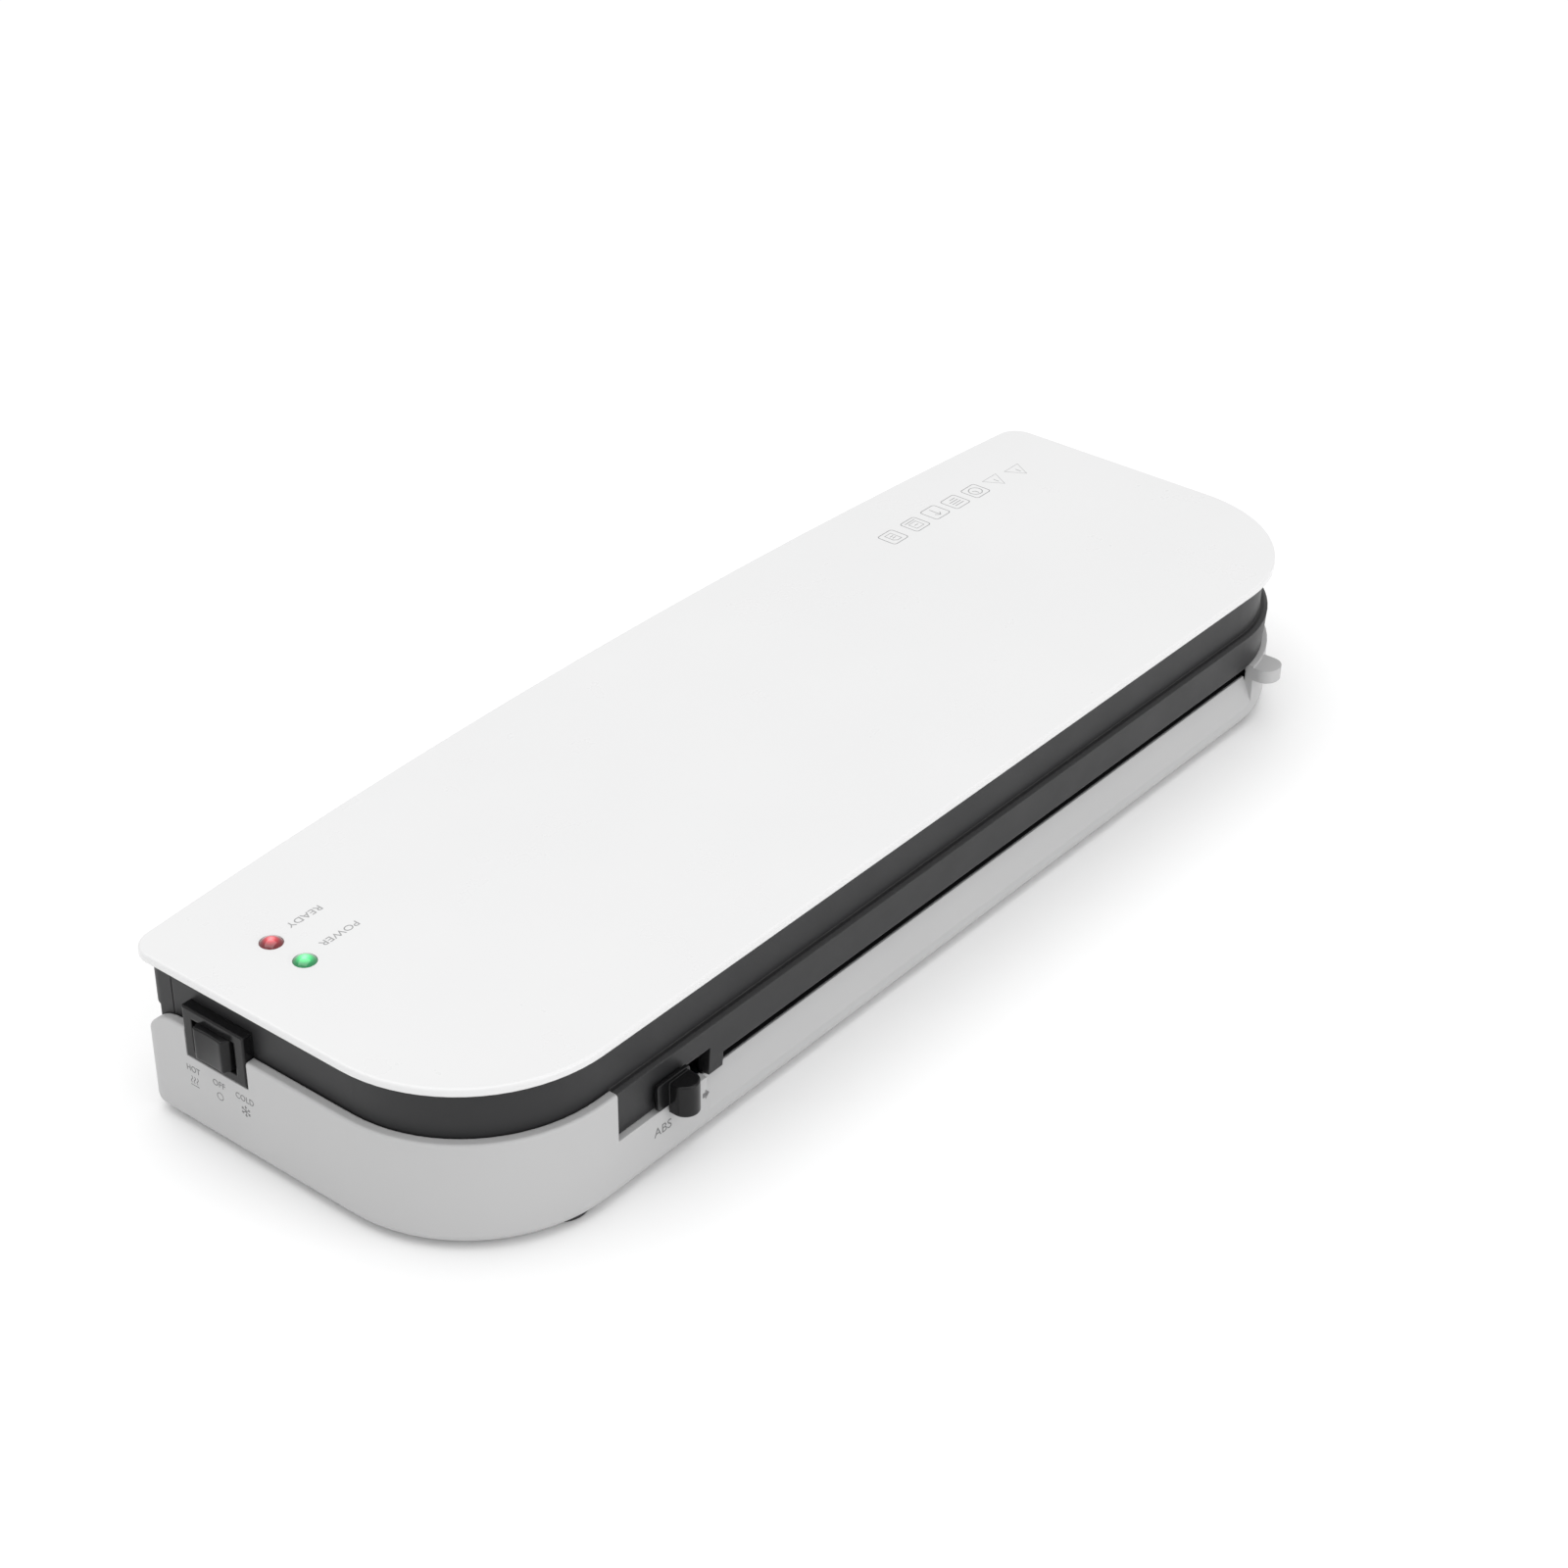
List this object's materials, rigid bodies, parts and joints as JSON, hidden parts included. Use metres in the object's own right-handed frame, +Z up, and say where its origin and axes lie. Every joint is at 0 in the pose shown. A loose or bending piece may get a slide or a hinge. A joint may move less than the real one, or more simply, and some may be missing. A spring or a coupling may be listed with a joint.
{
  "type": "pouch laminator",
  "caption": "Slim pouch laminator with a white cover plate, dark housing, light-grey base, rocker switch, release slider and a geared hot-roller mechanism.",
  "frame": {"origin": "On the resting surface, under the middle of the whole object's box.", "axes": "+X along the length to the right end, +Y from the feed slot to the exit slot, +Z up."},
  "size_m": [0.3622, 0.128, 0.0482],
  "materials": {
    "white_cover": "satin gloss",
    "dark_housing": "satin",
    "grey_base": "satin",
    "black_plastic": "satin",
    "black_gloss": "gloss",
    "red_lens": "polished",
    "green_lens": "polished",
    "foot_rubber": "matt",
    "silicone": "smooth matt",
    "zinc_steel": "zinc plated",
    "ground_steel": "ground",
    "aluminium": "extruded",
    "bronze": "sintered",
    "brass_blade": "rolled",
    "gear_nylon": "moulded",
    "film_amber": "film",
    "board_green": "solder mask"
  },
  "bodies": {
    "housing": {"base_tray": "grey_base", "upper_housing": "dark_housing", "rear_fascia": "dark_housing", "top_cover": "white_cover", "foot_front_left": "foot_rubber", "foot_front_right": "foot_rubber", "foot_rear_left": "foot_rubber", "foot_rear_right": "foot_rubber", "housing_screws": "zinc_steel", "led_ready": "red_lens", "led_power": "green_lens", "led_board": "board_green", "switch_body": "black_plastic", "switch_terminals": "brass_blade", "side_plate_left": "zinc_steel", "side_plate_right": "zinc_steel", "tie_rod_front": "zinc_steel", "tie_rod_rear": "zinc_steel", "frame_screws": "zinc_steel", "lower_bushes": "bronze", "spring_bracket_left": "zinc_steel", "spring_bracket_right": "zinc_steel", "idler_stud": "ground_steel", "motor_bracket": "zinc_steel", "drive_motor": "zinc_steel", "motor_screws": "zinc_steel", "heater_plate_upper": "aluminium", "heater_plate_lower": "aluminium", "heater_film_upper": "film_amber", "heater_film_lower": "film_amber", "thermal_cutout": "aluminium", "feed_guide_lower": "black_plastic", "feed_guide_upper": "black_plastic", "exit_guide_lower": "black_plastic", "exit_guide_upper": "black_plastic", "control_board": "board_green", "board_parts": "black_plastic", "cord_bushing": "black_plastic"},
    "rocker": {"switch_rocker": "black_gloss"},
    "release_slider": {"slider_knob": "black_gloss", "release_arm": "black_plastic"},
    "pressure_carriage": {"bearing_block_left": "black_plastic", "bearing_block_right": "black_plastic", "lift_bar": "zinc_steel", "pressure_spring_left": "ground_steel", "pressure_spring_right": "ground_steel"},
    "upper_roller": {"upper_roller_shaft": "ground_steel", "upper_roller_sleeve": "silicone", "upper_roller_gear": "gear_nylon", "upper_shaft_clips": "zinc_steel"},
    "lower_roller": {"lower_roller_shaft": "ground_steel", "lower_roller_sleeve": "silicone", "lower_roller_gear": "gear_nylon", "lower_shaft_clips": "zinc_steel"},
    "idler": {"idler_gear": "gear_nylon"},
    "motor_shaft": {"motor_pinion": "bronze"}
  },
  "joints": [
    {"name": "rocker_tilt", "type": "hinge", "parent": "housing", "child": "rocker", "pos_m": [-0.17211, 0.0275, 0.0306], "axis": [0, 0, -1], "range_deg": [-14, 14]},
    {"name": "slider_travel", "type": "slide", "parent": "housing", "child": "release_slider", "axis": [1, 0, 0], "range_m": [0, 0.008]},
    {"name": "nip_release", "type": "slide", "parent": "housing", "child": "pressure_carriage", "axis": [0, 0, 1], "range_m": [0, 0.001]},
    {"name": "upper_roller_spin", "type": "hinge", "parent": "pressure_carriage", "child": "upper_roller", "pos_m": [0.00109, 0.011, 0.0313], "axis": [1, 0, 0], "continuous": true},
    {"name": "lower_roller_spin", "type": "hinge", "parent": "housing", "child": "lower_roller", "pos_m": [0.00109, 0.011, 0.014], "axis": [1, 0, 0], "continuous": true},
    {"name": "idler_spin", "type": "hinge", "parent": "housing", "child": "idler", "pos_m": [-0.10751, -0.00921, 0.018], "axis": [1, 0, 0], "continuous": true},
    {"name": "motor_spin", "type": "hinge", "parent": "housing", "child": "motor_shaft", "pos_m": [-0.10751, -0.02431, 0.0297], "axis": [1, 0, 0], "continuous": true}
  ],
  "couplings": [
    {"joint": "upper_roller_spin", "follows": "lower_roller_spin", "ratio": -1},
    {"joint": "idler_spin", "follows": "lower_roller_spin", "ratio": -0.70833},
    {"joint": "motor_spin", "follows": "lower_roller_spin", "ratio": 1.2143},
    {"joint": "nip_release", "follows": "slider_travel", "ratio": 0.125}
  ]
}
